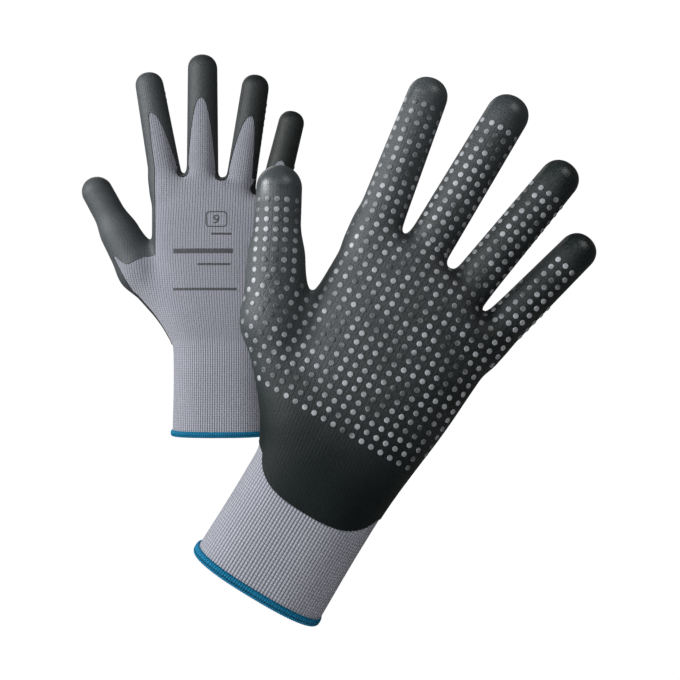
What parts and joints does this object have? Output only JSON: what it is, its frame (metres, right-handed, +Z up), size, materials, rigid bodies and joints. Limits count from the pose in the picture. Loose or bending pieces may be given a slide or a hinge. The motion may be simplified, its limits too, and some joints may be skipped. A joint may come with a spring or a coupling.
{
  "type": "work gloves",
  "caption": "Pair of seamless knitted work gloves with foam-dipped palms and fingers, grip dots and ribbed cuffs.",
  "frame": {"origin": "centre of the right glove's cuff mouth, where the wrist goes in", "axes": "+Z up the right glove's fingers; its thumb at -X, its palm facing +Y, its back facing -Y"},
  "size_m": [0.2815, 0.2585, 0.316],
  "materials": {
    "liner_knit": "fine grey plain knit",
    "cuff_knit": "grey elastic rib knit",
    "hem_thread": "blue overlock thread",
    "foam_coating": "dark satin nitrile foam",
    "coated_tip": "dark satin nitrile foam over knit",
    "grip_dots": "satin nitrile dots"
  },
  "bodies": {
    "right_palm": {"right_cuff_rib": "cuff_knit", "right_cuff_hem": "hem_thread", "right_palm_liner": "liner_knit", "right_palm_coating": "foam_coating", "right_palm_dots": "grip_dots"},
    "right_thumb_base": {"right_thumb_base_liner": "liner_knit", "right_thumb_base_coating": "foam_coating"},
    "right_thumb_tip": {"right_thumb_tip_liner": "liner_knit", "right_thumb_tip_coating": "foam_coating"},
    "right_index_proximal": {"right_index_proximal_liner": "liner_knit", "right_index_proximal_coating": "foam_coating"},
    "right_index_middle": {"right_index_middle_liner": "liner_knit", "right_index_middle_coating": "foam_coating"},
    "right_index_tip": {"right_index_tip": "coated_tip"},
    "right_middle_proximal": {"right_middle_proximal_liner": "liner_knit", "right_middle_proximal_coating": "foam_coating"},
    "right_middle_middle": {"right_middle_middle_liner": "liner_knit", "right_middle_middle_coating": "foam_coating"},
    "right_middle_tip": {"right_middle_tip": "coated_tip"},
    "right_ring_proximal": {"right_ring_proximal_liner": "liner_knit", "right_ring_proximal_coating": "foam_coating"},
    "right_ring_middle": {"right_ring_middle_liner": "liner_knit", "right_ring_middle_coating": "foam_coating"},
    "right_ring_tip": {"right_ring_tip": "coated_tip"},
    "right_little_proximal": {"right_little_proximal_liner": "liner_knit", "right_little_proximal_coating": "foam_coating"},
    "right_little_middle": {"right_little_middle_liner": "liner_knit", "right_little_middle_coating": "foam_coating"},
    "right_little_tip": {"right_little_tip": "coated_tip"},
    "left_palm": {"left_cuff_rib": "cuff_knit", "left_cuff_hem": "hem_thread", "left_palm_liner": "liner_knit", "left_palm_coating": "foam_coating", "left_palm_dots": "grip_dots"},
    "left_thumb_base": {"left_thumb_base_liner": "liner_knit", "left_thumb_base_coating": "foam_coating"},
    "left_thumb_tip": {"left_thumb_tip_liner": "liner_knit", "left_thumb_tip_coating": "foam_coating"},
    "left_index_proximal": {"left_index_proximal_liner": "liner_knit", "left_index_proximal_coating": "foam_coating"},
    "left_index_middle": {"left_index_middle_liner": "liner_knit", "left_index_middle_coating": "foam_coating"},
    "left_index_tip": {"left_index_tip": "coated_tip"},
    "left_middle_proximal": {"left_middle_proximal_liner": "liner_knit", "left_middle_proximal_coating": "foam_coating"},
    "left_middle_middle": {"left_middle_middle_liner": "liner_knit", "left_middle_middle_coating": "foam_coating"},
    "left_middle_tip": {"left_middle_tip": "coated_tip"},
    "left_ring_proximal": {"left_ring_proximal_liner": "liner_knit", "left_ring_proximal_coating": "foam_coating"},
    "left_ring_middle": {"left_ring_middle_liner": "liner_knit", "left_ring_middle_coating": "foam_coating"},
    "left_ring_tip": {"left_ring_tip": "coated_tip"},
    "left_little_proximal": {"left_little_proximal_liner": "liner_knit", "left_little_proximal_coating": "foam_coating"},
    "left_little_middle": {"left_little_middle_liner": "liner_knit", "left_little_middle_coating": "foam_coating"},
    "left_little_tip": {"left_little_tip": "coated_tip"}
  },
  "joints": [
    {"name": "right_thumb_base_bend", "type": "hinge", "parent": "right_palm", "child": "right_thumb_base", "pos_m": [-0.06623, 0.004, 0.13245], "axis": [-0.8942, 0, -0.4478], "range_deg": [0, 45], "stiffness_Nm_per_rad": 0.03},
    {"name": "right_thumb_tip_bend", "type": "hinge", "parent": "right_thumb_base", "child": "right_thumb_tip", "pos_m": [-0.07519, 0.004, 0.15033], "axis": [-0.8942, 0, -0.4478], "range_deg": [0, 60], "stiffness_Nm_per_rad": 0.02},
    {"name": "right_index_proximal_bend", "type": "hinge", "parent": "right_palm", "child": "right_index_proximal", "pos_m": [-0.03809, 0, 0.18311], "axis": [-0.9836, 0, -0.1805], "range_deg": [0, 65], "stiffness_Nm_per_rad": 0.03},
    {"name": "right_index_middle_bend", "type": "hinge", "parent": "right_index_proximal", "child": "right_index_middle", "pos_m": [-0.04188, 0, 0.20376], "axis": [-0.9836, 0, -0.1805], "range_deg": [0, 75], "stiffness_Nm_per_rad": 0.02},
    {"name": "right_index_tip_bend", "type": "hinge", "parent": "right_index_middle", "child": "right_index_tip", "pos_m": [-0.0455, 0, 0.22343], "axis": [-0.9836, 0, -0.1805], "range_deg": [0, 40], "stiffness_Nm_per_rad": 0.015},
    {"name": "right_middle_proximal_bend", "type": "hinge", "parent": "right_palm", "child": "right_middle_proximal", "pos_m": [-0.012, 0, 0.181], "axis": [-1, 0, 0], "range_deg": [0, 65], "stiffness_Nm_per_rad": 0.03},
    {"name": "right_middle_middle_bend", "type": "hinge", "parent": "right_middle_proximal", "child": "right_middle_middle", "pos_m": [-0.012, 0, 0.204], "axis": [-1, 0, 0], "range_deg": [0, 75], "stiffness_Nm_per_rad": 0.02},
    {"name": "right_middle_tip_bend", "type": "hinge", "parent": "right_middle_middle", "child": "right_middle_tip", "pos_m": [-0.012, 0, 0.228], "axis": [-1, 0, 0], "range_deg": [0, 40], "stiffness_Nm_per_rad": 0.015},
    {"name": "right_ring_proximal_bend", "type": "hinge", "parent": "right_palm", "child": "right_ring_proximal", "pos_m": [0.01425, 0, 0.17463], "axis": [-0.9863, 0, 0.165], "range_deg": [0, 65], "stiffness_Nm_per_rad": 0.03},
    {"name": "right_ring_middle_bend", "type": "hinge", "parent": "right_ring_proximal", "child": "right_ring_middle", "pos_m": [0.01788, 0, 0.19633], "axis": [-0.9863, 0, 0.165], "range_deg": [0, 75], "stiffness_Nm_per_rad": 0.02},
    {"name": "right_ring_tip_bend", "type": "hinge", "parent": "right_ring_middle", "child": "right_ring_tip", "pos_m": [0.02135, 0, 0.21704], "axis": [-0.9863, 0, 0.165], "range_deg": [0, 40], "stiffness_Nm_per_rad": 0.015},
    {"name": "right_little_proximal_bend", "type": "hinge", "parent": "right_palm", "child": "right_little_proximal", "pos_m": [0.03664, 0, 0.16784], "axis": [-0.9703, 0, 0.2419], "range_deg": [0, 65], "stiffness_Nm_per_rad": 0.03},
    {"name": "right_little_middle_bend", "type": "hinge", "parent": "right_little_proximal", "child": "right_little_middle", "pos_m": [0.04051, 0, 0.18336], "axis": [-0.9703, 0, 0.2419], "range_deg": [0, 75], "stiffness_Nm_per_rad": 0.02},
    {"name": "right_little_tip_bend", "type": "hinge", "parent": "right_little_middle", "child": "right_little_tip", "pos_m": [0.04438, 0, 0.19889], "axis": [-0.9703, 0, 0.2419], "range_deg": [0, 40], "stiffness_Nm_per_rad": 0.015},
    {"name": "left_thumb_base_bend", "type": "hinge", "parent": "left_palm", "child": "left_thumb_base", "pos_m": [0.04974, -0.216, 0.09814], "axis": [0.9971, 0, -0.0767], "range_deg": [0, 45], "stiffness_Nm_per_rad": 0.03},
    {"name": "left_thumb_tip_bend", "type": "hinge", "parent": "left_thumb_base", "child": "left_thumb_tip", "pos_m": [0.05128, -0.216, 0.11808], "axis": [0.9971, 0, -0.0767], "range_deg": [0, 60], "stiffness_Nm_per_rad": 0.02},
    {"name": "left_index_proximal_bend", "type": "hinge", "parent": "left_palm", "child": "left_index_proximal", "pos_m": [0.09996, -0.212, 0.12707], "axis": [0.9361, 0, -0.3518], "range_deg": [0, 65], "stiffness_Nm_per_rad": 0.03},
    {"name": "left_index_middle_bend", "type": "hinge", "parent": "left_index_proximal", "child": "left_index_middle", "pos_m": [0.10734, -0.212, 0.14673], "axis": [0.9361, 0, -0.3518], "range_deg": [0, 75], "stiffness_Nm_per_rad": 0.02},
    {"name": "left_index_tip_bend", "type": "hinge", "parent": "left_index_middle", "child": "left_index_tip", "pos_m": [0.11438, -0.212, 0.16545], "axis": [0.9361, 0, -0.3518], "range_deg": [0, 40], "stiffness_Nm_per_rad": 0.015},
    {"name": "left_middle_proximal_bend", "type": "hinge", "parent": "left_palm", "child": "left_middle_proximal", "pos_m": [0.12124, -0.212, 0.11183], "axis": [0.8572, 0, -0.515], "range_deg": [0, 65], "stiffness_Nm_per_rad": 0.03},
    {"name": "left_middle_middle_bend", "type": "hinge", "parent": "left_middle_proximal", "child": "left_middle_middle", "pos_m": [0.13308, -0.212, 0.13154], "axis": [0.8572, 0, -0.515], "range_deg": [0, 75], "stiffness_Nm_per_rad": 0.02},
    {"name": "left_middle_tip_bend", "type": "hinge", "parent": "left_middle_middle", "child": "left_middle_tip", "pos_m": [0.14544, -0.212, 0.15212], "axis": [0.8572, 0, -0.515], "range_deg": [0, 40], "stiffness_Nm_per_rad": 0.015},
    {"name": "left_ring_proximal_bend", "type": "hinge", "parent": "left_palm", "child": "left_ring_proximal", "pos_m": [0.14046, -0.212, 0.09285], "axis": [0.7604, 0, -0.6494], "range_deg": [0, 65], "stiffness_Nm_per_rad": 0.03},
    {"name": "left_ring_middle_bend", "type": "hinge", "parent": "left_ring_proximal", "child": "left_ring_middle", "pos_m": [0.15475, -0.212, 0.10958], "axis": [0.7604, 0, -0.6494], "range_deg": [0, 75], "stiffness_Nm_per_rad": 0.02},
    {"name": "left_ring_tip_bend", "type": "hinge", "parent": "left_ring_middle", "child": "left_ring_tip", "pos_m": [0.16838, -0.212, 0.12555], "axis": [0.7604, 0, -0.6494], "range_deg": [0, 40], "stiffness_Nm_per_rad": 0.015},
    {"name": "left_little_proximal_bend", "type": "hinge", "parent": "left_palm", "child": "left_little_proximal", "pos_m": [0.15615, -0.212, 0.0755], "axis": [0.7071, 0, -0.7071], "range_deg": [0, 65], "stiffness_Nm_per_rad": 0.03},
    {"name": "left_little_middle_bend", "type": "hinge", "parent": "left_little_proximal", "child": "left_little_middle", "pos_m": [0.16746, -0.212, 0.08681], "axis": [0.7071, 0, -0.7071], "range_deg": [0, 75], "stiffness_Nm_per_rad": 0.02},
    {"name": "left_little_tip_bend", "type": "hinge", "parent": "left_little_middle", "child": "left_little_tip", "pos_m": [0.17877, -0.212, 0.09812], "axis": [0.7071, 0, -0.7071], "range_deg": [0, 40], "stiffness_Nm_per_rad": 0.015},
    {"name": "left_glove_apart", "type": "slide", "parent": "right_palm", "child": "left_palm", "axis": [0, 1, 0], "range_m": [-0.2, 0.12]}
  ]
}
